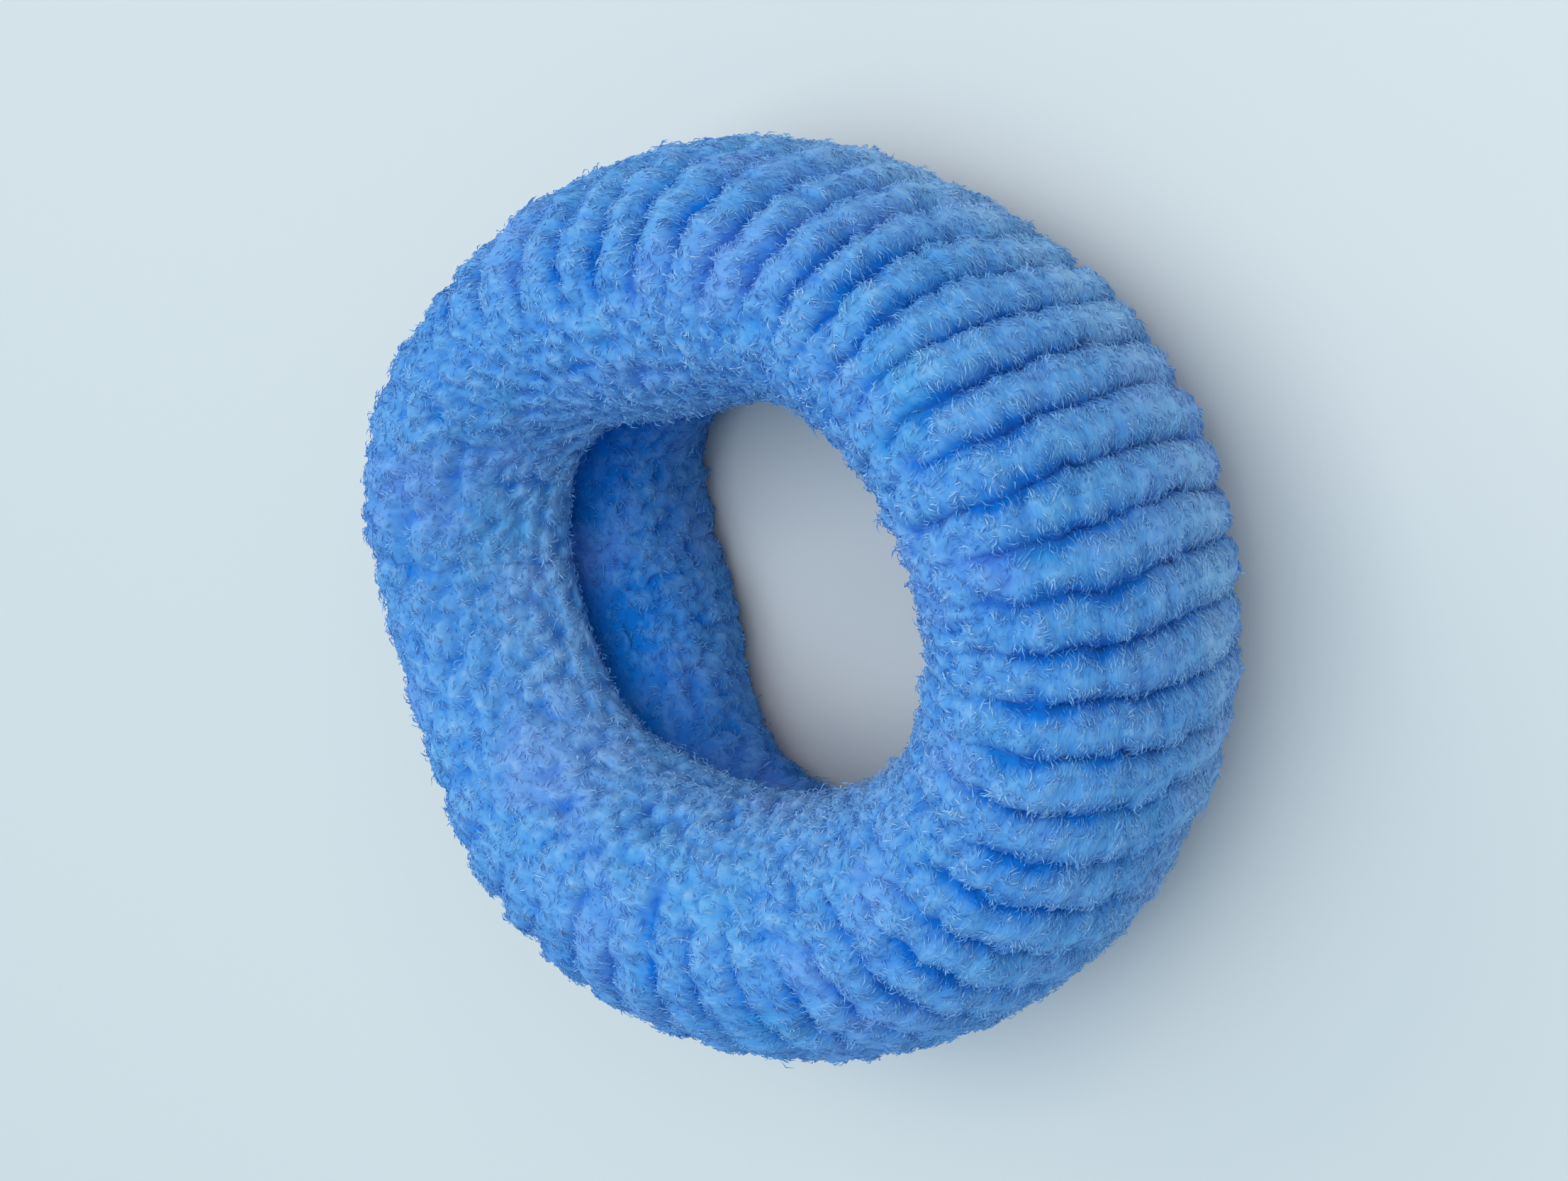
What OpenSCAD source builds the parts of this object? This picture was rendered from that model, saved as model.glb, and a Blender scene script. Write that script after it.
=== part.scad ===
// Thick seamless hair tie: one padded band of ribbed plush knit, closed into a ring.
// Its two rims roll inward and meet in a crease, which runs round the hole.
// The ring lies on its side, with its axis along Z and its flattened rim on z = 0.

/* [Ring] */
// Outer diameter over the ribs, as an average of the slightly uneven ring
outer_d = 46; // [42:0.5:50]
// Thickness of the band, from the hole to the outside
band_t = 12; // [10:0.2:13]
// Height of the band, from rim to rim, before it is pressed flat underneath
band_h = 20.4; // [18:0.2:22]
// Squareness of the band's section: 2 is an ellipse, and more is boxier
section_power = 2.2; // [2:0.1:3]
// How much of the uneven, handled shape is kept: 0 is a perfectly even ring
unevenness = 1; // [0:0.1:1]

/* [Ribs] */
// Number of ribs round the ring
rib_count = 46; // [40:1:46]
// Depth of the grooves between the ribs on the outer wall
outer_groove = 0.9; // [0.3:0.1:1.2]
// Depth of the grooves on the inner side, where the knit is squeezed together
inner_groove = 0.25; // [0.1:0.05:0.3]
// How quickly the grooves fade from the outer wall over the rims: 1 is slowly
groove_fade = 3; // [1:0.1:3]
// How much closer the ribs lie on the +X side than on the -X side
rib_crowding = 0.16; // [0:0.01:0.2]

/* [Rolled rims] */
// Depth of the narrow crease where the two rolled rims meet, as a share of half the thickness
crease_share = 0.57; // [0.2:0.01:0.6]
// Half width of the crease on the upper rim, as an angle about the middle of the section
crease_angle = 12; // [12:1:24]
// Depth of the wide hollow that the rims roll into, as a share of half the thickness
hollow_share = 0.2; // [0:0.01:0.25]
// Half width of the hollow on the upper rim, as an angle about the middle of the section
hollow_angle = 26; // [20:1:30]
// How much wider both are on the lower rim, so that the upper one hangs over it
overhang = 2; // [1:0.1:2.5]
// How far both lie below mid-height, as an angle about the middle of the section
crease_drop = 10; // [0:1:20]

/* [Rest] */
// How far the soft knit is pressed flat where it lies on a surface
press = 0.8; // [0.5:0.1:1]

/* [Hidden] */

knit_blue = [0.36, 0.58, 0.88];

// Stations across one rib: groove, flank, crest, flank
rib_stations = 4;
// Points round one section, and how much they crowd towards the crease
section_points = 32;
crease_crowding = 0.4;

// The uneven shape of the relaxed ring, in one row for each eighth of the way round.
// OUT moves the band away from the hole, THICK and TALL add to its thickness and height,
// and LEAN tips its upper rim outward, in degrees.
OUT = 0;
THICK = 1;
TALL = 2;
LEAN = 3;
shape = [
  // OUT, THICK, TALL, LEAN
  [0.7, 0, 0.6, 4], // on +X
  [-0.6, -0.6, -0.2, 0],
  [-0.8, 2.0, 0.2, -1], // on +Y
  [0.4, -2.0, 0.4, 13],
  [-0.8, -1.2, -0.6, 25], // on -X
  [0.1, 2.2, 0.8, -6],
  [-0.1, 2.4, -0.2, -3], // on -Y
  [0.5, 0.8, -0.6, 5]
];

core_r = (outer_d - band_t) / 2;
stations = rib_count * rib_stations;
station_step = 360 / stations;

// A smooth curve through four values, between the second and the third
function blend4(a, b, c, d, t) =
  b + t / 2 * (c - a + t * (2 * a - 5 * b + 4 * c - d + t * (3 * (b - c) + d - a)));

// A column of the table at any angle round the ring
function uneven(angle, column) =
  let (
    rows = len(shape),
    turn = ((angle % 360) + 360) % 360 / 360 * rows,
    row = floor(turn),
    v = [for (i = [-1:2]) shape[(row + i + rows) % rows][column]]
  )
  unevenness * blend4(v[0], v[1], v[2], v[3], turn - row);

// Even steps of the knit become slightly uneven angles round the ring
function rib_angle(knit_angle) =
  knit_angle - rib_crowding * 180 / PI * sin(knit_angle);

// Where point k of a section lies: 0 is the outer wall, 90 the upper rim
function section_angle(k) =
  let (t = 2 * k / section_points - 1)
  180 + crease_drop + 180 * (t - crease_crowding * sin(180 * t) / PI);

// The section's outline over the crests, from its middle
function crest_line(a, half_t, half_h) =
  pow(
    pow(abs(cos(a)) / half_t, section_power) + pow(abs(sin(a)) / half_h, section_power),
    -1 / section_power
  );

// A dip about the crease, which falls off as a bell curve, and more slowly below the crease
function dip(a, width) =
  let (
    away = ((a - crease_drop) % 360 + 360) % 360 - 180,
    reach = away > 0 ? overhang * width : width
  )
  exp(-pow(away / reach, 2));

// Depth of the crease and its hollow below the crest line
function rolled_in(a, half_t) =
  half_t * (crease_share * dip(a, crease_angle) + hollow_share * dip(a, hollow_angle));

// Depth below the crest line, where off_crest is 0 on a rib's crest and 1 in its groove.
// The grooves are deepest on the outer wall.
function rib_dip(a, off_crest) =
  let (outward = pow((1 + cos(a)) / 2, groove_fade))
  (inner_groove + (outer_groove - inner_groove) * outward) * (1 - cos(90 * off_crest));

// One point of the surface, from the knit's angle and the section's angle
function knit_point(knit_angle, off_crest, a) =
  let (
    angle = rib_angle(knit_angle),
    half_t = (band_t + uneven(angle, THICK)) / 2,
    half_h = (band_h + uneven(angle, TALL)) / 2,
    lean = uneven(angle, LEAN),
    rho = crest_line(a, half_t, half_h) - rolled_in(a, half_t) - rib_dip(a, off_crest),
    out = rho * cos(a),
    up = rho * sin(a),
    lowest = norm([half_h * cos(lean), half_t * sin(lean)]),
    r = core_r + uneven(angle, OUT) + out * cos(lean) + up * sin(lean),
    z = lowest - press + up * cos(lean) - out * sin(lean)
  )
  [r * cos(angle), r * sin(angle), max(z, 0)];

// How far a station lies from its rib's crest: 0 on it, and 1 in the groove
function off_crest(station) =
  abs((station + rib_stations / 2) % rib_stations - rib_stations / 2) * 2 / rib_stations;

// A surface through rings of points that closes both ways, as triangles
module closed_loop(points, rings, count) {
  index = function (i, k) (i % rings) * count + k % count;
  faces = [
    for (i = [0:rings - 1], k = [0:count - 1])
      each [
        [index(i, k), index(i, k + 1), index(i + 1, k)],
        [index(i + 1, k), index(i, k + 1), index(i + 1, k + 1)]
      ]
  ];
  polyhedron(points = points, faces = faces, convexity = 8);
}

module knit_ring() {
  points = [
    for (i = [0:stations - 1], k = [0:section_points - 1])
      knit_point(i * station_step, off_crest(i), section_angle(k))
  ];
  xs = [for (p = points) p.x];
  ys = [for (p = points) p.y];
  centre = [max(xs) + min(xs), max(ys) + min(ys)] / 2;
  color(knit_blue)
    translate([-centre.x, -centre.y, 0])
      closed_loop(points, stations, section_points);
}

knit_ring();
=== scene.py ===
"""Dresses the hair tie's plain solid as ribbed plush knit with a short curly pile, and stages it.

Lengths are in metres. The ring lies on z = 0 with its axis along Z. A place on the knit is a pair
(turn, way): turn goes once round the ring from 0 to 1, and way goes once round the band's section,
from the middle of the outer wall over the upper rim, the inner side and the lower rim.
"""

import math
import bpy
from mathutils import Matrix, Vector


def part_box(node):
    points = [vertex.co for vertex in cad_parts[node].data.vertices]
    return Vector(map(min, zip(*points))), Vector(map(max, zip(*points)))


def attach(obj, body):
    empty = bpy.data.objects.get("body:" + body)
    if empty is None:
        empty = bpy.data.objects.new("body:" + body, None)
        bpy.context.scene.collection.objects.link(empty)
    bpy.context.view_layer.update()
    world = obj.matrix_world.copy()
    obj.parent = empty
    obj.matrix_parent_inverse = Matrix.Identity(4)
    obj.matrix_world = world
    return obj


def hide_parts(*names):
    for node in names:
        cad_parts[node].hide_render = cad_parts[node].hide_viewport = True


bl_info = {
    "name": "Plush Hair Tie",
    "version": (1, 0, 0),
    "blender": (4, 5, 0),
    "location": "3D View > Sidebar > Hair Tie",
    "description": "Builds a thick ribbed hair tie of plush knit, and a plain stage for it",
    "category": "Add Mesh",
}

import bpy
import numpy as np
from bpy.props import FloatProperty, FloatVectorProperty, IntProperty, PointerProperty
from mathutils import Matrix, Vector

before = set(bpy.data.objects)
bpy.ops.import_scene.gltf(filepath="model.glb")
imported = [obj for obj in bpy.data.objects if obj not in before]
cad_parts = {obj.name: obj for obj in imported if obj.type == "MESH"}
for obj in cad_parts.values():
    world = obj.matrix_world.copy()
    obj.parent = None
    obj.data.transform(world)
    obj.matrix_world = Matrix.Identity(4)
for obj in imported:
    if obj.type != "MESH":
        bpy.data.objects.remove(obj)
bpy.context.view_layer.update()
NODE = "knit_ring"
MM = 0.001
TURN = 2 * math.pi
# Columns of the knit's mesh on each half of a rib, and its rows round the section
HALF_RIB = 5
ROWS = 210
# Steps in which the average section is walked
WALK_STEPS = 2000
# Turns and sections at which the ring's outline is measured
OUTLINE_GRID = (208, 90)
# Quarters of the ring, with one piece of pile each, and the cells by turn and by way of each quarter
QUARTERS = 4
PILE_CELLS = (260, 240)

# The uneven shape of the relaxed ring, one row for each eighth of the way round, in millimetres:
# how far the band moves out, what it gains in thickness and height, and its upper rim's lean
# outward in degrees
OUT, THICK, TALL, LEAN = range(4)
UNEVEN = np.array(
    [
        (0.7, 0, 0.6, 4),
        (-0.6, -0.6, -0.2, 0),
        (-0.8, 2, 0.2, -1),
        (0.4, -2.0, 0.4, 13),
        (-0.8, -1.2, -0.6, 25),
        (0.1, 2.2, 0.8, -6),
        (-0.1, 2.4, -0.2, -3),
        (0.5, 0.8, -0.6, 5),
    ]
)

# Soft noises: how far each goes, its cells round the ring and round the section, and its seed
SLOW_WAVER = (0.12, (26, 9), 3)
WAVER = (0.07, (52, 30), 4)
QUICK_WAVER = (0.07, (104, 70), 13)
GROOVE_DEPTHS = (0.25, (104, 26), 10)
BARE_PATCHES = (1, (52, 30), 12)
LUMPS = (0.1, (210, 90), 6)
FINE_LUMPS = (0.05, (420, 180), 7)
STRANDS = (0.07, (160, 260), 9)
COMBED = (1, (220, 100), 14)
# How far the ribs' own heights go, in millimetres, and their seed
RIB_HEIGHTS = (0.12, 8)

# Places round the section, in degrees from the middle of the outer wall: the middle and half width
PARTING = (70, 17)
TOP = (95, 35)
# The lip and the wall that turns under are where light is painted on
LIP = (150, 25)
TURNED_UNDER = (-28, 34)
# Where the shade of the crease and the lower rim begins, and where it is full
BELOW = (165, 185)
# Cosines of the places just past the tops of the rims and on the outer wall, between which
# what belongs to the wall eases in
OUTWARD = (-0.25, 0.6)

# Tufts and puffs: how many stand abreast on a rib, how far they stray, and the seed of that
TUFTS_ABREAST, PUFFS_ABREAST = 2, 1
ASTRAY, ASTRAY_SEED = 0.4, 2
# Their heights in millimetres, and what the rims and inner side add to one, and -X to the other
TUFT_HEIGHT, TUFT_HEIGHT_INWARD = 0.45, 0.3
PUFF_HEIGHT, PUFF_HEIGHT_FAR = 0.35, 0.1
# Their average heights, which are taken off so that the band keeps its size
TUFT_MEAN, PUFF_MEAN = 0.3, 0.7
# How far out a tuft levels off, and how steeply a puff falls
TUFT_REACH, PUFF_FALL = 0.8, 1.7
# How round a rib is, and how far it falls from crest to groove for that, which is scaled to 1
RIB_ROUND, RIB_FALL = 0.96, 0.8
# Average share of a groove's full depth, how far it fades on the -X side, and how much more inward
GROOVE_MEAN, GROOVE_FADE, GROOVE_FADE_INWARD = 0.9, 0.25, 0.45
# How far the bare patches where the grooves begin fade on the -X side
PATCH_FADE = 0.85

# The yarn's tone on the crests, and the painted shade that grooves and the bare patches where they begin
# take off it
TONE = 0.57
GROOVE_SHADE, GROOVE_SHADE_FAR, PATCH_SHADE = 0.7, 0.35, 0.65
# Painted shade that the valleys between tufts and puffs take off, how much less of it outward, and from how
# far out
TUFT_SHADE, TUFT_SHADE_OUTWARD, TUFT_SHADE_FROM = 0.8, 0.6, 0.4
PUFF_SHADE, PUFF_SHADE_OUTWARD, PUFF_SHADE_FROM = 0.5, 0.2, 0.5
# Painted shade that the hollow and the crease take off, times the root of their depth and times the depth
HOLLOW_SHADE, CREASE_SHADE = 0.5, 0.3
# Painted light that the lip of the hole and the wall that turns under add
LIP_PAINTED_LIGHT, TURNED_UNDER_PAINTED_LIGHT = 0.12, 0.3
# Painted shade that makes the knit darker than its pile, and how much its strokes of yarn change its tone
KNIT_SHADE, STROKE_TONE = 0.05, 0.6

# Curls: the range of their rise in degrees, the variety of their length, and the range of their radius
CURL_RISE, CURL_VARIETY, CURL_RADII = (15, 50), 0.25, (0.7, 1.15)
# How much lower they are on the outer wall, their share of the full length, and how much less there
RISE_OUTWARD, LENGTH_SHARE, LENGTH_OUTWARD = 0.2, 0.9, 0.15
# How deep their roots lie in the knit
ROOT_DEPTH = 0.05 * MM
# Tones of the root, of the three points round the bend and of the tip, beside the knit's; the darker root
# is painted shade
CURL_TONES = (-0.05, 0.05, 0.05, 0.05, 0.04)
# In radians: how far they stray on the outer wall, the angle at which they wind round a tuft
# elsewhere, and how far they stray there
COMB_SPREAD, WIND, WIND_SPREAD = 0.4, 1.3, 0.6
# How far they lean over, in radians, and how much less on the outer wall
LEAN_SPREAD, LEAN_SPREAD_OUTWARD = 1.1, 0.4
# How far their tones stray, and how much more on the upper rim, which fades on the -X side
TONE_SPREAD, TONE_SPREAD_TOP, TOP_FADE = 0.07, 0.15, 0.9
# Painted glints and painted shade: how much lighter or darker a few of them are, their share, and what the
# upper rim adds to it; the darker ones, as shade in the gaps between loops, are on the upper rim only
PAINTED_GLINT, GLINT_SHARE, GLINT_SHARE_TOP = 0.25, 0.01, 0.06
PAINTED_GAP_SHADE, GAP_SHADE_SHARE_TOP = 0.3, 0.08
# How bare the knit is far from a puff or a tuft: the steepness, what is taken off, and the most
PUFF_GAP = (3, 1.4, 0.8)
TUFT_GAP = (2.5, 1.1, 0.6)
# How bare it is in patches and in grooves, and the share of the pile that is left at least
PATCH_BARE, GROOVE_BARE, LEAST_PILE = 0.6, 0.8, 0.1
# Share of the pile that is left on the pressed underside, and the height up to which it is
UNDERSIDE_PILE, UNDERSIDE_HEIGHT = 0.35, 0.4 * MM

# The stage: colours and strength of its light, and the width of its lamps in metres
SKY, SKY_STRENGTH = (0.45, 0.70, 0.92), 0.66
WARM, COOL = (1, 0.785, 0.58), (0.84, 0.85, 0.86)
LAMP_WIDTH = 0.8
# Half the floor's width, and how far it lies under the ring, so that the two don't coincide
FLOOR_HALF, FLOOR_DROP = 2.0, 1e-4


class HairTieSize(bpy.types.PropertyGroup):
    """Sizes of the knitted band."""

    outer_d: FloatProperty(
        name="Outer diameter", description="Over the ribs, as an average",
        default=46 * MM, unit="LENGTH",
    )
    band_t: FloatProperty(
        name="Band thickness", description="From the hole to the outside",
        default=12 * MM, unit="LENGTH",
    )
    band_h: FloatProperty(
        name="Band height", description="From rim to rim, before pressing",
        default=20.4 * MM, unit="LENGTH",
    )
    section_power: FloatProperty(
        name="Squareness", description="2 is an ellipse, and more is boxier", default=2.2, min=2, max=3
    )
    rib_count: IntProperty(name="Ribs", description="Ribs round the ring", default=46, min=24, max=47)
    rib_crowding: FloatProperty(
        name="Rib crowding", description="How much closer the ribs lie on the +X side", default=0.16
    )
    outer_groove: FloatProperty(
        name="Outer groove", description="Groove depth on the outer wall",
        default=1.15 * MM, unit="LENGTH",
    )
    parting: FloatProperty(
        name="Parting", description="Extra depth where the grooves begin",
        default=0.3 * MM, unit="LENGTH",
    )
    inner_groove: FloatProperty(
        name="Inner groove", description="Groove depth on the inner side",
        default=0.1 * MM, unit="LENGTH",
    )
    crease_share: FloatProperty(
        name="Crease depth", description="As a share of half the thickness",
        default=0.57, min=0, max=0.6,
    )
    crease_angle: FloatProperty(
        name="Crease width", description="Half width about the section's middle",
        default=math.radians(12), subtype="ANGLE",
    )
    hollow_share: FloatProperty(
        name="Hollow depth", description="As a share of half the thickness",
        default=0.2, min=0, max=0.25,
    )
    hollow_angle: FloatProperty(
        name="Hollow width", description="Half width about the section's middle",
        default=math.radians(26), subtype="ANGLE",
    )
    overhang: FloatProperty(
        name="Overhang", description="How much wider both are on the lower rim", default=2, min=1, max=3
    )
    crease_drop: FloatProperty(
        name="Crease drop", description="How far it lies below mid-height",
        default=math.radians(10), subtype="ANGLE",
    )
    inset: FloatProperty(
        name="Inset", description="How far the knit lies under the top of its pile",
        default=0.3 * MM, unit="LENGTH",
    )
    press: FloatProperty(
        name="Press", description="How far the lower rim is pressed flat",
        default=0.8 * MM, unit="LENGTH",
    )
    stitch: FloatProperty(
        name="Stitch length", description="Length of one stitch along a rib",
        default=1.1 * MM, unit="LENGTH",
    )
    puff: FloatProperty(
        name="Puff length", description="Length of one puff along a rib",
        default=1.9 * MM, unit="LENGTH",
    )


class HairTiePile(bpy.types.PropertyGroup):
    """The fuzzy pile of short curls that covers the knit."""

    curls: IntProperty(
        name="Curls", description="Curls in each quarter of the ring", default=33000, min=100, max=33300
    )
    curl_length: FloatProperty(
        name="Curl length", description="Full length of a curl, which varies",
        default=0.68 * MM, unit="LENGTH",
    )
    curl_radius: FloatProperty(
        name="Curl radius", description="Radius of a curl's strand", default=0.04 * MM, unit="LENGTH"
    )
    seed: IntProperty(name="Seed", description="Start of the random draws", default=11)


class HairTieColours(bpy.types.PropertyGroup):
    """Colours of the dyed yarn."""

    light: FloatVectorProperty(
        name="Tips", description="Colour of the fibre tips",
        subtype="COLOR", default=(0.305, 0.525, 0.765), min=0, max=1,
    )
    middle: FloatVectorProperty(
        name="Yarn", description="Colour of the yarn",
        subtype="COLOR", default=(0.102, 0.32, 0.665), min=0, max=1,
    )
    # Painted shade in grooves, valleys and the crease draws the yarn towards the roots' colour
    deep: FloatVectorProperty(
        name="Roots", description="Colour deep in the grooves",
        subtype="COLOR", default=(0.004, 0.165, 0.60), min=0, max=1,
    )
    lilac: FloatVectorProperty(
        name="Lilac cast", description="Colour of the faint lilac patches",
        subtype="COLOR", default=(0.22, 0.34, 0.74), min=0, max=1,
    )
    teal: FloatVectorProperty(
        name="Teal cast", description="Colour of the faint teal patches",
        subtype="COLOR", default=(0.07, 0.40, 0.66), min=0, max=1,
    )


class HairTieStage(bpy.types.PropertyGroup):
    """Floor, light and camera."""

    floor: FloatVectorProperty(
        name="Floor", description="Colour of the floor",
        subtype="COLOR", default=(0.58, 0.63, 0.635), min=0, max=1,
    )
    view_tilt: FloatProperty(
        name="View tilt", description="Angle from the ring's axis to the camera",
        default=math.radians(39.8), subtype="ANGLE",
    )
    view_roll: FloatProperty(
        name="View roll", description="Turn of the camera about its line of sight",
        default=math.radians(17.3), subtype="ANGLE",
    )
    distance: FloatProperty(
        name="Distance", description="From the ring's middle to the camera",
        default=119 * MM, unit="LENGTH",
    )
    lens: FloatProperty(name="Lens", description="Focal length in millimetres", default=54, min=20, max=200)


def ease(t):
    """A smooth step: 3t^2 - 2t^3."""
    return t * t * (3 - 2 * t)


def ease_from(value, start, stop):
    """0 up to start, easing to 1 at stop."""
    return ease(np.clip((value - start) / (stop - start), 0, 1))


def bell(section, middle, half_width):
    """exp(-(away / half width)^2), where away is the angle from the middle in degrees."""
    away = (np.degrees(section) - middle + 180) % 360 - 180
    return np.exp(-((away / half_width) ** 2))


def soft_noise(turn, way, amount, cells, seed):
    """Smooth values from -amount to amount that repeat once round either way.

    Random values stand on a grid of cells, and each place eases between its four corners.
    """
    grid = np.random.default_rng(seed).uniform(-1, 1, cells)
    x, y = turn * cells[0], way * cells[1]
    i, j = np.floor(x).astype(int), np.floor(y).astype(int)
    fx, fy = ease(x - i), ease(y - j)
    i0, i1, j0, j1 = i % cells[0], (i + 1) % cells[0], j % cells[1], (j + 1) % cells[1]
    near = grid[i0, j0] * (1 - fy) + grid[i0, j1] * fy
    far = grid[i1, j0] * (1 - fy) + grid[i1, j1] * fy
    return amount * (near * (1 - fx) + far * fx)


def uneven(angle, column):
    """A column of the table at any angle: a Catmull-Rom curve through its rows, which closes."""
    rows = UNEVEN[:, column]
    place = angle / TURN * len(rows)
    i = np.floor(place).astype(int)
    t = place - i
    a, b, c, d = (rows[(i + k) % len(rows)] for k in (-1, 0, 1, 2))
    return b + t / 2 * (c - a + t * (2 * a - 5 * b + 4 * c - d + t * (3 * (b - c) + d - a)))


def crest_line(size, section, half_t, half_h):
    """Radius of a superellipse: (|cos a / t|^n + |sin a / h|^n)^(-1/n)."""
    n = size.section_power
    return (np.abs(np.cos(section) / half_t) ** n + np.abs(np.sin(section) / half_h) ** n) ** (-1 / n)


def crease_dip(size, section, half_t):
    """A narrow crease in a wide hollow, each its depth times exp(-(angle from it / half width)^2).

    Both are wider below the crease, so that the upper rim hangs over the lower one.
    """
    away = (section - size.crease_drop) % TURN - math.pi
    away = away / np.where(away > 0, size.overhang, 1)
    crease = size.crease_share * np.exp(-((away / size.crease_angle) ** 2))
    hollow = size.hollow_share * np.exp(-((away / size.hollow_angle) ** 2))
    return (crease + hollow) * half_t


def section_walk(size):
    """Evenly spaced ways round the average section, and their section angles by arc length."""
    section = np.linspace(0, TURN, WALK_STEPS + 1)
    half_t, half_h = size.band_t / 2, size.band_h / 2
    rho = crest_line(size, section, half_t, half_h) - crease_dip(size, section, half_t)
    steps = np.hypot(np.diff(rho * np.cos(section)), np.diff(rho * np.sin(section)))
    walked = np.concatenate([[0], np.cumsum(steps)])
    return walked / walked[-1], section, walked[-1]


def outwardness(section):
    """1 on the outer wall, easing to 0 just past the tops of the rims, by the section's cosine."""
    return ease_from(np.cos(section), *OUTWARD)


def far_side(turn):
    """1 on the -X side, easing to 0 on the +X side."""
    return (1 - np.cos(TURN * turn)) / 2


def groove_depth(size, section):
    """Shallow on the inner side, full on the outer wall, and deeper still where the grooves begin."""
    outer = (size.outer_groove - size.inner_groove) * outwardness(section)
    return size.inner_groove + outer + size.parting * bell(section, *PARTING)


def rib_waver(turn, way):
    """How far the ribs stray sideways, in ribs."""
    slow = soft_noise(turn, way, *SLOW_WAVER) + soft_noise(turn, way, *WAVER)
    return slow + soft_noise(turn, way, *QUICK_WAVER)


def tufts(size, turn, way, length, abreast, spacing):
    """How far each place lies from its nearest tuft, across and along the rib, in tufts.

    The tufts stand abreast on each rib and are spaced along it, each a little off its place.
    """
    cells = (abreast * size.rib_count, round(length / spacing))
    astray = np.random.default_rng(ASTRAY_SEED).uniform(-ASTRAY, ASTRAY, (2, *cells))
    x, y = (turn * size.rib_count + rib_waver(turn, way) + 0.5) * abreast, way * cells[1]
    i, j = np.floor(x).astype(int), np.floor(y).astype(int)
    nearest = np.full((2, *x.shape), np.inf)
    for step_x in (-1, 0, 1):
        for step_y in (-1, 0, 1):
            cell = ((i + step_x) % cells[0], (j + step_y) % cells[1])
            dx = x - i - step_x - 0.5 - astray[0][cell] * abreast / 2
            dy = y - j - step_y - 0.5 - astray[1][cell]
            nearest = np.where(np.hypot(dx, dy) < np.hypot(*nearest), [dx, dy], nearest)
    return nearest


def distances(size, turn, way, length):
    """How far each place lies from its nearest tuft and its nearest puff, in tufts and in puffs."""
    tuft = np.hypot(*tufts(size, turn, way, length, TUFTS_ABREAST, size.stitch))
    puff = np.hypot(*tufts(size, turn, way, length, PUFFS_ABREAST, size.puff))
    return tuft, puff


def rib_place(size, turn, way):
    """The rib that a place belongs to, and how far it lies off its crest, from -1 to 1."""
    place = turn * size.rib_count + rib_waver(turn, way)
    rib = np.round(place)
    return rib, 2 * (place - rib)


def rib_columns(size, ways):
    """The turns of the mesh's columns, which follow the ribs and crowd towards their grooves.

    A few rounds find the turn whose place among the wavering ribs is the column's own.
    """
    off = np.sin(np.arange(1 - HALF_RIB, HALF_RIB + 1) / HALF_RIB * math.pi / 2)
    place = (np.arange(size.rib_count)[:, None] + off / 2).reshape(-1, 1) + 0 * ways
    way = ways + 0 * place
    turn = place / size.rib_count
    for _ in range(3):
        turn = (place - rib_waver(turn, way)) / size.rib_count
    return turn, way


def knit_height(size, turn, way, section, length):
    """How far the knit stands over the crest line.

    The rib falls as 1 - sqrt(1 - 0.96 off^2) into its groove, which is deeper here and there, and
    fades on the -X side, most on the rims and the inner side. Each puff, as wide as its rib, is a
    round dome, sqrt(1 - (1.3 far)^2) high, where far is the distance from its middle. Each tuft falls
    with the square of it, and is highest on the rims and the inner side. Soft lumps lie over it all.
    """
    rib, off = rib_place(size, turn, way)
    inward = 1 - outwardness(section)
    fall = (1 - np.sqrt(np.maximum(1 - RIB_ROUND * off**2, 0))) / RIB_FALL
    fall = fall * (GROOVE_MEAN + soft_noise(turn, way, *GROOVE_DEPTHS))
    fall = fall * (1 - (GROOVE_FADE + GROOVE_FADE_INWARD * inward) * far_side(turn))
    tuft, puff = distances(size, turn, way, length)
    dome = (TUFT_HEIGHT + TUFT_HEIGHT_INWARD * inward) * (TUFT_MEAN - np.minimum(tuft, TUFT_REACH) ** 2)
    puff_height = PUFF_HEIGHT + PUFF_HEIGHT_FAR * far_side(turn)
    dome = dome + puff_height * (np.sqrt(np.maximum(1 - PUFF_FALL * puff**2, 0)) - PUFF_MEAN)
    lumps = soft_noise(turn, way, *LUMPS) + soft_noise(turn, way, *FINE_LUMPS)
    amount, seed = RIB_HEIGHTS
    rib_height = soft_noise(rib / size.rib_count, 0 * way, amount, (size.rib_count, 1), seed)
    return MM * (dome + lumps + rib_height) - groove_depth(size, section) * fall - size.inset


def patch(turn, way, section):
    """How bare the knit is where the grooves begin, which also sets the painted shade that deepens its blue
    there: unevenly, and least on -X.
    """
    uneven_bare = 1 + soft_noise(turn, way, *BARE_PATCHES)
    return bell(section, *PARTING) * (1 - PATCH_FADE * far_side(turn)) * uneven_bare


def gap(far, steepness, taken, most):
    """How bare the knit is far from a puff or a tuft: steepness * far - taken, from 0 to the most."""
    return np.clip(steepness * far - taken, 0, most)


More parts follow.
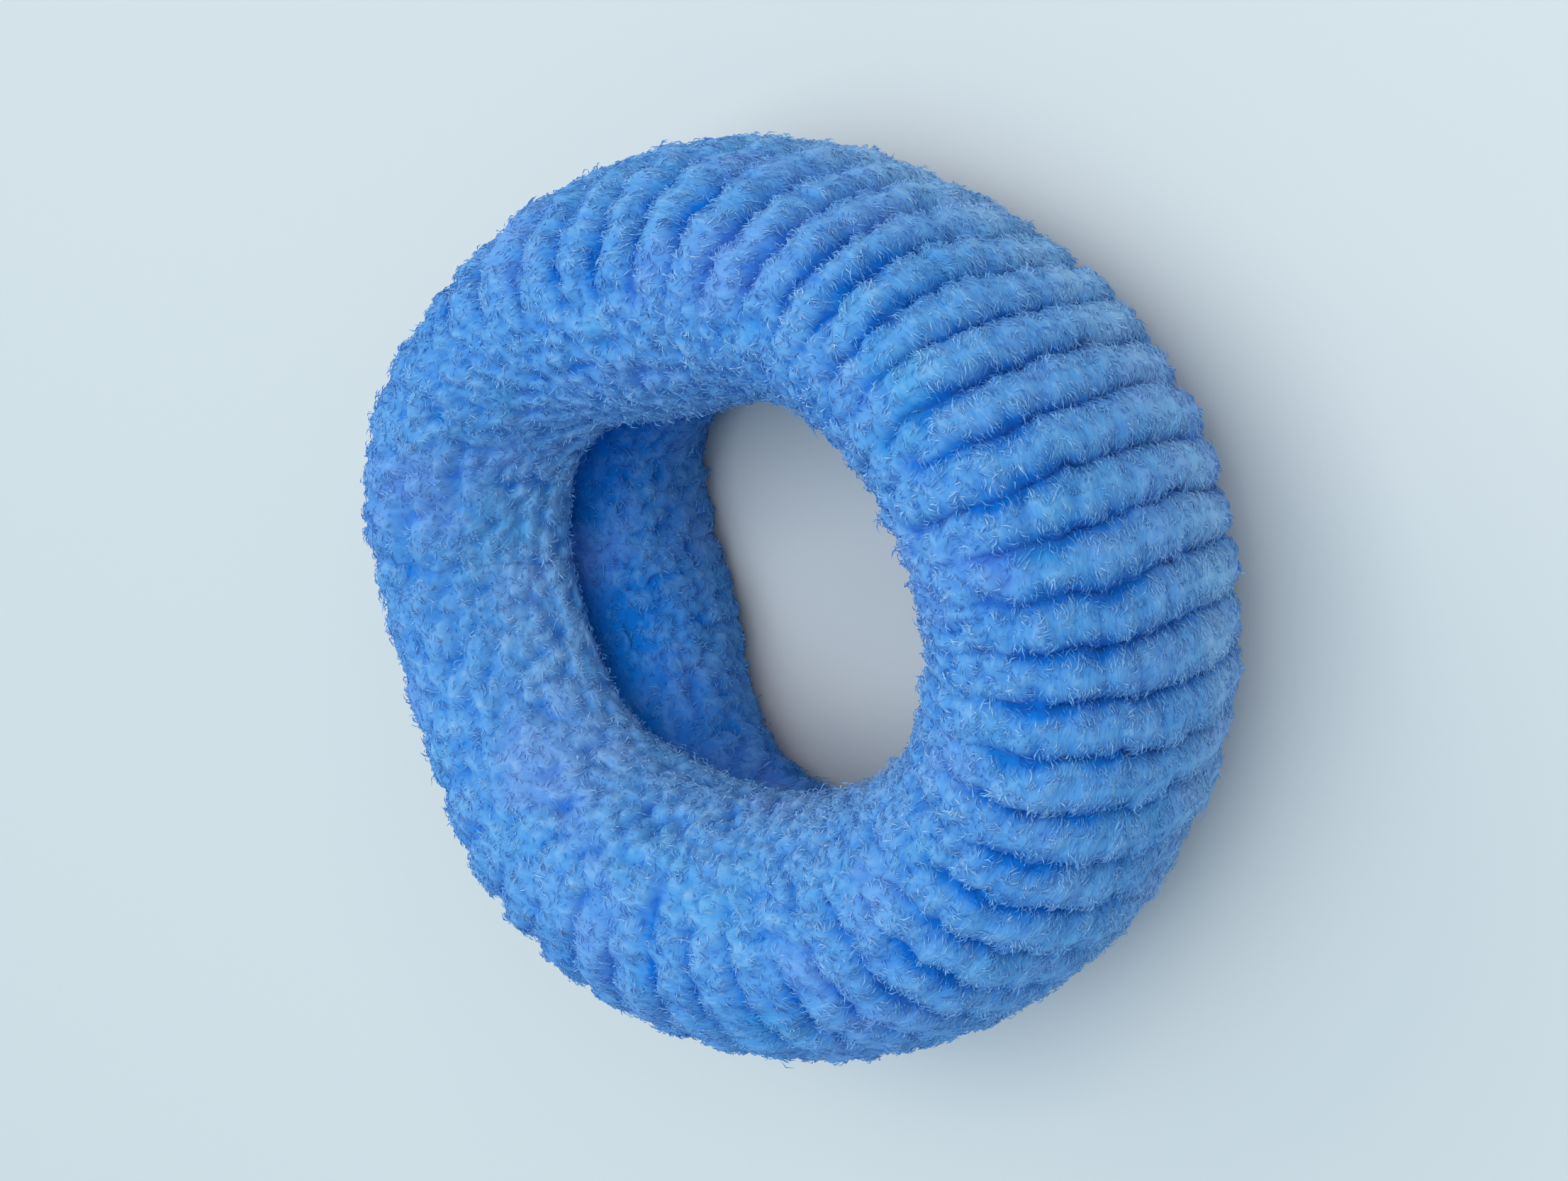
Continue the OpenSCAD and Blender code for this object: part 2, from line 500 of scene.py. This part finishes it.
def knit_tone_and_shade(size, turn, way, section, length):
    """How light the yarn looks, with shade and light painted in: 0 deep in a groove or between tufts, and 1
    at light tips.

    Painted shade darkens the grooves and the patches where they begin, the valleys between tufts and puffs,
    and the crease and the lower rim. Painted light makes it lighter on the lip of the hole and where the
    outer wall turns under.
    """
    _, off = rib_place(size, turn, way)
    outward = outwardness(section)
    # Painted shade in the grooves and in the bare patches where they begin
    groove = (GROOVE_SHADE - GROOVE_SHADE_FAR * far_side(turn)) * outward * off**6
    groove = groove + PATCH_SHADE * patch(turn, way, section) * off**2
    tuft, puff = distances(size, turn, way, length)
    # Painted shade in the valleys between tufts and puffs
    valley = (TUFT_SHADE - TUFT_SHADE_OUTWARD * outward) * np.maximum(tuft - TUFT_SHADE_FROM, 0)
    valley = valley + (PUFF_SHADE - PUFF_SHADE_OUTWARD * outward) * np.maximum(puff - PUFF_SHADE_FROM, 0)
    # Painted shade in the crease, the hollow and the lower rim
    dip = crease_dip(size, section, 1)
    below = ease_from(np.degrees(section % TURN), *BELOW)
    inner = below * (HOLLOW_SHADE * np.sqrt(dip) + CREASE_SHADE * dip)
    # Painted light on the lip of the hole and where the outer wall turns under
    light = LIP_PAINTED_LIGHT * bell(section, *LIP) + TURNED_UNDER_PAINTED_LIGHT * bell(section, *TURNED_UNDER)
    clumps = soft_noise(turn, way, *LUMPS) + soft_noise(turn, way, *STRANDS)
    return TONE - groove - valley - inner + light + clumps


def band_point(size, turn, section, height):
    """A point of the band, height above its crest line.

    The section is leaned, carried round the ring and set down so that its lowest point is pressed
    through the floor by a fixed depth, where it flattens.
    """
    knit = TURN * turn
    angle = knit - size.rib_crowding * np.sin(knit)
    half_t = (size.band_t + uneven(angle, THICK) * MM) / 2
    half_h = (size.band_h + uneven(angle, TALL) * MM) / 2
    lean = np.radians(uneven(angle, LEAN))
    rho = crest_line(size, section, half_t, half_h) - crease_dip(size, section, half_t) + height
    out, up = rho * np.cos(section), rho * np.sin(section)
    core_r = (size.outer_d - size.band_t) / 2 + uneven(angle, OUT) * MM
    r = core_r + out * np.cos(lean) + up * np.sin(lean)
    lowest = np.hypot(half_h * np.cos(lean), half_t * np.sin(lean))
    z = lowest - size.press + up * np.cos(lean) - out * np.sin(lean)
    return np.stack([r * np.cos(angle), r * np.sin(angle), z], -1)


class Knit:
    """The knit's surface as a function of (turn, way), set on the solid's own place."""

    def __init__(self, size):
        self.size = size
        self.ways, self.sections, self.length = section_walk(size)
        turns, sections = OUTLINE_GRID
        turn, section = np.meshgrid(np.arange(turns) / turns, np.linspace(0, TURN, sections), indexing="ij")
        outline = band_point(size, turn, section, 0)
        low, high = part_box(NODE)
        middle = (np.array(low) + np.array(high)) / 2
        own = (outline.min((0, 1)) + outline.max((0, 1))) / 2
        self.shift = np.array([middle[0] - own[0], middle[1] - own[1], 0])

    def section(self, way):
        """The section's angle at a way."""
        return np.interp(way % 1, self.ways, self.sections)

    def point(self, turn, way):
        """A point of the knit's surface."""
        section = self.section(way)
        height = knit_height(self.size, turn, way, section, self.length)
        return band_point(self.size, turn, section, height) + self.shift

    def stroke_length(self, way):
        """Length walked from the underside, three times as fast on the outer wall as elsewhere.

        The underside lies a quarter of the way before the middle of the outer wall.
        """
        count = 720
        place = np.arange(count + 1)
        steps = (1 + 2 * outwardness(self.section((place / count - 0.25) % 1))) * self.length / count
        walked = np.cumsum(steps) - steps
        return np.interp((way + 0.25) % 1 * count, place, walked)

    def tone(self, turn, way):
        """How light the yarn is there."""
        return knit_tone_and_shade(self.size, turn, way, self.section(way), self.length)

    def frame(self, turn, way):
        """The point, the outward normal, and the unit steps across and along the rib."""
        step = 2e-4
        here = self.point(turn, way)
        across = self.point(turn + step, way) - self.point(turn - step, way)
        along = self.point(turn, way + step) - self.point(turn, way - step)
        normal = unit(np.cross(across, along))
        along = unit(along)
        return here, normal, np.cross(along, normal), along


def unit(v):
    """Each vector at length 1."""
    return v / np.maximum(np.linalg.norm(v, axis=-1, keepdims=True), 1e-12)


def mesh_piece(name, points, triangles, material, smooth, **attributes):
    """A mesh object from whole arrays of points and triangles, riding on the solid's body."""
    mesh = bpy.data.meshes.new(name)
    mesh.vertices.add(len(points))
    mesh.vertices.foreach_set("co", points.astype(np.float32).ravel())
    mesh.loops.add(triangles.size)
    mesh.loops.foreach_set("vertex_index", triangles.astype(np.int32).ravel())
    mesh.polygons.add(len(triangles))
    mesh.polygons.foreach_set("loop_start", np.arange(0, triangles.size, 3, dtype=np.int32))
    mesh.polygons.foreach_set("use_smooth", np.full(len(triangles), smooth))
    for key, values in attributes.items():
        layer = mesh.attributes.new(key, "FLOAT", "POINT")
        layer.data.foreach_set("value", values.astype(np.float32).ravel())
    mesh.update(calc_edges=True)
    mesh.materials.append(material)
    piece = bpy.data.objects.new(name, mesh)
    bpy.context.scene.collection.objects.link(piece)
    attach(piece, "root")
    return piece


def closed_grid(rings, count):
    """Triangles of a surface of rings of points that closes both ways."""
    i, k = np.meshgrid(np.arange(rings), np.arange(count), indexing="ij")
    a, b = i * count + k, i * count + (k + 1) % count
    c, d = (i + 1) % rings * count + k, (i + 1) % rings * count + (k + 1) % count
    return np.stack([a, c, b, c, d, b], -1).reshape(-1, 3)


def curl_mesh(roots, chords, normals, bulges, rises, lengths, radii):
    """Points and triangles of curls: strands that arch over their chord in two equal steps.

    The first step rises from the chord towards the bulge, and the second falls half as far. A
    triangle lies round the bend, with one side turned up, towards the knit's own normal, and both
    ends are points.
    """
    up, over = np.sin(rises)[:, None], np.cos(rises)[:, None]
    middle = roots + (chords * over + bulges * up) * (lengths / 2)[:, None]
    tips = middle + (chords * over - bulges * up / 2) * (lengths / 2)[:, None]
    corner = np.radians([30, 150, 270])[:, None]
    ring = np.cross(normals, chords)[:, None] * np.cos(corner) + normals[:, None] * np.sin(corner)
    bend = middle[:, None] + ring * radii[:, None, None]
    points = np.concatenate([roots[:, None], bend, tips[:, None]], 1)
    faces = []
    for a, b in ((1, 2), (2, 3), (3, 1)):
        faces += [(0, a, b), (a, 4, b)]
    triangles = np.array(faces) + 5 * np.arange(len(roots))[:, None, None]
    return points.reshape(-1, 3), triangles.reshape(-1, 3)


def colour_ramp(nodes, stops):
    """A node whose colour goes through the stops, which are pairs of a place and a colour."""
    ramp = nodes.new("ShaderNodeValToRGB")
    elements = ramp.color_ramp.elements
    elements[0].position, elements[1].position = stops[0][0], stops[-1][0]
    for place, _ in stops[1:-1]:
        elements.new(place)
    for element, (_, colour) in zip(elements, stops):
        element.color = (*colour, 1)
    return ramp


def noise(nodes, links, where, scale, detail):
    """A noise texture at the places that a socket gives, with scale cells to a metre."""
    texture = nodes.new("ShaderNodeTexNoise")
    texture.inputs["Scale"].default_value = scale
    texture.inputs["Detail"].default_value = detail
    links.new(where, texture.inputs["Vector"])
    return texture


def cast(nodes, links, colour, texture, low, high, share, tint):
    """Colour mixed towards a tint where a noise texture lies over low, by at most a share."""
    amount = nodes.new("ShaderNodeMapRange")
    amount.inputs["From Min"].default_value = low
    amount.inputs["From Max"].default_value = high
    amount.inputs["To Max"].default_value = share
    links.new(texture.outputs["Fac"], amount.inputs["Value"])
    mix = nodes.new("ShaderNodeMix")
    mix.data_type = "RGBA"
    links.new(amount.outputs["Result"], mix.inputs["Factor"])
    links.new(colour, mix.inputs["A"])
    mix.inputs["B"].default_value = (*tint, 1)
    return mix.outputs["Result"]


def strokes(nodes, links, place):
    """Fine strokes of yarn: noise that is stretched across the ribs on the outer wall.

    It reads X and Y, and in place of Z the stroke attribute, which grows fastest there.
    """
    apart = nodes.new("ShaderNodeSeparateXYZ")
    joined = nodes.new("ShaderNodeCombineXYZ")
    along = nodes.new("ShaderNodeAttribute")
    along.attribute_name = "stroke"
    links.new(place, apart.inputs["Vector"])
    links.new(apart.outputs["X"], joined.inputs["X"])
    links.new(apart.outputs["Y"], joined.inputs["Y"])
    links.new(along.outputs["Fac"], joined.inputs["Z"])
    texture = noise(nodes, links, joined.outputs["Vector"], scale=1800, detail=1.5)
    texture.inputs["Distortion"].default_value = 0.6
    return texture.outputs["Fac"]


def yarn_material(name, sheen, bump=0):
    """Dyed plush yarn: the tone attribute, which carries painted light and shade, picks the blue, with
    faint lilac and teal patches.

    With a bump, strokes of yarn are raised on it and change its tone.
    """
    colours = bpy.context.scene.hair_tie_colours
    material = bpy.data.materials.new(name)
    material.use_nodes = True
    nodes, links = material.node_tree.nodes, material.node_tree.links
    shader = nodes["Principled BSDF"]
    place = nodes.new("ShaderNodeTexCoord").outputs["Object"]
    tone = nodes.new("ShaderNodeAttribute")
    tone.attribute_name = "tone"
    shade = tone.outputs["Fac"]
    if bump:
        stroke = strokes(nodes, links, place)
        raised = nodes.new("ShaderNodeBump")
        raised.inputs["Distance"].default_value = bump
        links.new(stroke, raised.inputs["Height"])
        links.new(raised.outputs["Normal"], shader.inputs["Normal"])
        add = nodes.new("ShaderNodeMath")
        add.operation = "MULTIPLY_ADD"
        links.new(stroke, add.inputs[0])
        add.inputs[1].default_value = STROKE_TONE
        links.new(shade, add.inputs[2])
        lower = nodes.new("ShaderNodeMath")
        lower.operation = "SUBTRACT"
        links.new(add.outputs["Value"], lower.inputs[0])
        lower.inputs[1].default_value = STROKE_TONE / 2
        shade = lower.outputs["Value"]
    ramp = colour_ramp(nodes, [(0.0, colours.deep), (0.5, colours.middle), (1.0, colours.light)])
    links.new(shade, ramp.inputs["Fac"])
    lilac = noise(nodes, links, place, scale=150, detail=2)
    teal = noise(nodes, links, place, scale=210, detail=3)
    colour = ramp.outputs["Color"]
    colour = cast(nodes, links, colour, lilac, low=0.52, high=0.75, share=0.35, tint=colours.lilac)
    colour = cast(nodes, links, colour, teal, low=0.56, high=0.78, share=0.35, tint=colours.teal)
    links.new(colour, shader.inputs["Base Color"])
    shader.inputs["Roughness"].default_value = 0.9
    shader.inputs["Specular IOR Level"].default_value = 0.02
    shader.inputs["Sheen Weight"].default_value = sheen
    shader.inputs["Sheen Roughness"].default_value = 0.5
    shader.inputs["Sheen Tint"].default_value = (0.6, 0.8, 1, 1)
    return material


class HAIRTIE_OT_knit(bpy.types.Operator):
    """Build the ribbed knit that the pile grows on, in place of the plain solid"""

    bl_idname = "hair_tie.knit"
    bl_label = "Knit"

    def execute(self, context):
        size = context.scene.hair_tie_size
        knit = Knit(size)
        turn, way = rib_columns(size, np.arange(ROWS) / ROWS)
        points = knit.point(turn, way)
        points[..., 2] = np.maximum(points[..., 2], 0)
        body = mesh_piece(
            "ribbed_knit",
            points.reshape(-1, 3),
            closed_grid(*turn.shape),
            yarn_material("plush_yarn", sheen=0.15, bump=0.1 * MM),
            smooth=True,
            # Painted shade: the knit under its pile is darker
            tone=knit.tone(turn, way) - KNIT_SHADE,
            stroke=knit.stroke_length(way),
        )
        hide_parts(NODE)
        return {"FINISHED"}


class HAIRTIE_OT_pile(bpy.types.Operator):
    """Grow the short curly pile on the knit, in one piece for each quarter of the ring"""

    bl_idname = "hair_tie.pile"
    bl_label = "Pile"

    def execute(self, context):
        knit = Knit(context.scene.hair_tie_size)
        material = yarn_material("plush_pile", sheen=0.1)
        pile = context.scene.hair_tie_pile
        for quarter in range(QUARTERS):
            rng = np.random.default_rng(pile.seed + quarter)
            self.curls(knit, pile, quarter, rng, material)
        return {"FINISHED"}

    def curls(self, knit, pile, quarter, rng, material):
        """One quarter's curls, which arch over the knit or curve along it, lower on the outer wall."""
        count = pile.curls
        turn, way = self.spread(knit, count, quarter, rng)
        root, normal, chord, bulge = self.lay(knit, turn, way, rng)
        outward = outwardness(knit.section(way))
        rise = np.radians(rng.uniform(*CURL_RISE, count)) * (1 - RISE_OUTWARD * outward)
        length = pile.curl_length * rng.lognormal(0, CURL_VARIETY, count)
        length = length * (LENGTH_SHARE - LENGTH_OUTWARD * outward)
        radius = pile.curl_radius * rng.uniform(*CURL_RADII, count)
        points, triangles = curl_mesh(root, chord, normal, bulge, rise, length, radius)
        points[:, 2] = np.maximum(points[:, 2], 0)
        tone = self.tone(knit, turn, way, rng)
        name = f"curls_quarter_{quarter + 1}"
        mesh_piece(name, points, triangles, material, smooth=False, tone=tone)

    def lay(self, knit, turn, way, rng):
        """Roots just inside the knit, its normals, and the ways that curls lie in and bulge in.

        On the outer wall they lie across their rib, off its crest to both sides, and those next to
        each other stray the same way. Elsewhere they wind round their tuft. They bulge out of the
        knit, leaning to either side.
        """
        count = len(turn)
        root, normal, across, along = knit.frame(turn, way)
        _, off = rib_place(knit.size, turn, way)
        outward = outwardness(knit.section(way))
        comb = soft_noise(turn, way, *COMBED) + rng.normal(0, COMB_SPREAD, count)
        away = tufts(knit.size, turn, way, knit.length, TUFTS_ABREAST, knit.size.stitch)
        wind = np.arctan2(away[1], away[0]) + WIND + rng.normal(0, WIND_SPREAD, count)
        over = outward * np.sign(off) * np.cos(comb) + (1 - outward) * np.cos(wind)
        ahead = outward * np.sin(comb) + (1 - outward) * np.sin(wind)
        chord = unit(across * over[:, None] + along * ahead[:, None])
        lean = rng.normal(0, LEAN_SPREAD - LEAN_SPREAD_OUTWARD * outward, count)[:, None]
        bulge = normal * np.cos(lean) + np.cross(normal, chord) * np.sin(lean)
        return root - normal * ROOT_DEPTH, normal, chord, bulge

    def tone(self, knit, turn, way, rng):
        """The tones of each curl's points: the knit's, with its painted light and shade, where it grows, a
        little astray.

        They stray most on the upper rim, where more of the curls are painted very light as glints, and more
        are painted dark as shade between the loops.
        """
        count = len(turn)
        rim = bell(knit.section(way), *TOP) * (1 - TOP_FADE * far_side(turn))
        base = knit.tone(turn, way) + rng.normal(0, TONE_SPREAD + TONE_SPREAD_TOP * rim, count)
        # A few curls get painted glints, and on the upper rim a few get painted shade
        base += PAINTED_GLINT * (rng.random(count) < GLINT_SHARE + GLINT_SHARE_TOP * rim)
        base -= PAINTED_GAP_SHADE * (rng.random(count) < GAP_SHADE_SHARE_TOP * rim)
        return np.clip(base[:, None] + CURL_TONES, 0, 1)

    def spread(self, knit, count, quarter, rng):
        """Random places, spread by area, but fewer in the grooves, in gaps of the knit and underneath.

        The gaps lie between tufts and puffs, on the rims and the inner side only.
        """
        cells = PILE_CELLS
        turn, way = np.meshgrid(
            (quarter + (np.arange(cells[0]) + 0.5) / cells[0]) / QUARTERS,
            (np.arange(cells[1]) + 0.5) / cells[1],
            indexing="ij",
        )
        points = knit.point(turn, way)
        steps = np.gradient(points, axis=(0, 1))
        area = np.linalg.norm(np.cross(*steps), axis=-1)
        _, off = rib_place(knit.size, turn, way)
        section = knit.section(way)
        tuft, puff = distances(knit.size, turn, way, knit.length)
        bare = PATCH_BARE * np.minimum(patch(turn, way, section) * off**2, 1)
        bare = bare + (1 - outwardness(section)) * (gap(puff, *PUFF_GAP) + gap(tuft, *TUFT_GAP))
        share = area * (1 - GROOVE_BARE * off**4) * np.maximum(1 - bare, LEAST_PILE)
        share = share * np.where(points[..., 2] < UNDERSIDE_HEIGHT, UNDERSIDE_PILE, 1)
        total = np.cumsum(share.ravel())
        chosen = np.searchsorted(total, rng.uniform(0, total[-1], count))
        i, j = np.unravel_index(np.minimum(chosen, total.size - 1), cells)
        jitter = rng.uniform(-0.5, 0.5, (2, count))
        return turn[i, j] + jitter[0] / cells[0] / QUARTERS, (way[i, j] + jitter[1] / cells[1]) % 1


class HAIRTIE_OT_stage(bpy.types.Operator):
    """Set the floor, the soft light and the camera"""

    bl_idname = "hair_tie.stage"
    bl_label = "Stage"

    def execute(self, context):
        stage = context.scene.hair_tie_stage
        context.scene.view_settings.view_transform = "Standard"
        self.floor(stage)
        self.light()
        self.camera(context, stage)
        return {"FINISHED"}

    def floor(self, stage):
        around = ((-1, -1), (1, -1), (1, 1), (-1, 1))
        corners = [(x * FLOOR_HALF, y * FLOOR_HALF, -FLOOR_DROP) for x, y in around]
        mesh = bpy.data.meshes.new("floor")
        mesh.from_pydata(corners, [], [(0, 1, 2, 3)])
        material = bpy.data.materials.new("pale_floor")
        material.use_nodes = True
        shader = material.node_tree.nodes["Principled BSDF"]
        shader.inputs["Base Color"].default_value = (*stage.floor, 1)
        shader.inputs["Roughness"].default_value = 0.6
        mesh.materials.append(material)
        floor = bpy.data.objects.new("floor", mesh)
        bpy.context.scene.collection.objects.link(floor)

    def light(self):
        world = bpy.data.worlds.new("studio")
        world.use_nodes = True
        background = world.node_tree.nodes["Background"]
        background.inputs["Color"].default_value = (*SKY, 1)
        background.inputs["Strength"].default_value = SKY_STRENGTH
        bpy.context.scene.world = world
        self.softbox("overhead", place=(0, 0.15, 1), watts=6.3, colour=COOL)
        self.softbox("right", place=(0.65, 0.2, 0.75), watts=4.3, colour=WARM)
        self.softbox("left", place=(-0.45, 0.75, 0.5), watts=3.1, colour=WARM)

    def softbox(self, name, place, watts, colour):
        """A square lamp that shines at the ring and can't be seen."""
        lamp = bpy.data.lights.new(name, "AREA")
        lamp.size, lamp.energy, lamp.color = LAMP_WIDTH, watts, colour
        box = bpy.data.objects.new(name, lamp)
        box.location = place
        box.rotation_euler = (-Vector(place)).to_track_quat("-Z", "Y").to_euler()
        box.visible_camera = False
        bpy.context.scene.collection.objects.link(box)

    def camera(self, context, stage):
        """The camera looks down on the ring's +X side, and is rolled so that +Z points to the left."""
        knit = Knit(context.scene.hair_tie_size)
        middle = Vector(knit.shift) + Vector((0, 0, knit.size.band_h / 2 - knit.size.press))
        tilt, roll = stage.view_tilt, stage.view_roll
        back = Vector((math.sin(tilt), 0, math.cos(tilt)))
        level = Vector((math.cos(tilt), 0, -math.sin(tilt)))
        rise = Vector((0, 1, 0))
        right = level * math.cos(roll) - rise * math.sin(roll)
        up = level * math.sin(roll) + rise * math.cos(roll)
        lens = bpy.data.cameras.new("camera")
        lens.lens = stage.lens
        lens.clip_start = 0.005
        camera = bpy.data.objects.new("camera", lens)
        turned = Matrix((right, up, back)).transposed().to_4x4()
        camera.matrix_world = Matrix.Translation(middle + back * stage.distance) @ turned
        context.scene.collection.objects.link(camera)
        context.scene.camera = camera


class HAIRTIE_PT_panel(bpy.types.Panel):
    """Sizes, colours and pieces of the hair tie"""

    bl_idname = "HAIRTIE_PT_panel"
    bl_label = "Hair Tie"
    bl_space_type = "VIEW_3D"
    bl_region_type = "UI"
    bl_category = "Hair Tie"

    def draw(self, context):
        for title, group, operators in GROUPS:
            box = self.layout.box()
            box.label(text=title)
            settings = getattr(context.scene, group)
            for key in settings.bl_rna.properties.keys():
                if key not in ("rna_type", "name"):
                    box.prop(settings, key)
            for operator in operators:
                box.operator(operator)


# Each group of settings in the panel, with the operators that use it
GROUPS = (
    ("Band", "hair_tie_size", ("hair_tie.knit",)),
    ("Pile", "hair_tie_pile", ("hair_tie.pile",)),
    ("Colours", "hair_tie_colours", ()),
    ("Stage", "hair_tie_stage", ("hair_tie.stage",)),
)
SETTINGS = {
    "hair_tie_size": HairTieSize,
    "hair_tie_pile": HairTiePile,
    "hair_tie_colours": HairTieColours,
    "hair_tie_stage": HairTieStage,
}
CLASSES = (*SETTINGS.values(), HAIRTIE_OT_knit, HAIRTIE_OT_pile, HAIRTIE_OT_stage, HAIRTIE_PT_panel)


def register():
    for cls in CLASSES:
        bpy.utils.register_class(cls)
    for key, group in SETTINGS.items():
        setattr(bpy.types.Scene, key, PointerProperty(type=group))


def unregister():
    for key in SETTINGS:
        delattr(bpy.types.Scene, key)
    for cls in reversed(CLASSES):
        bpy.utils.unregister_class(cls)


def main():
    register()
    bpy.ops.hair_tie.stage()
    bpy.ops.hair_tie.knit()
    bpy.ops.hair_tie.pile()


if __name__ == "__main__":
    main()
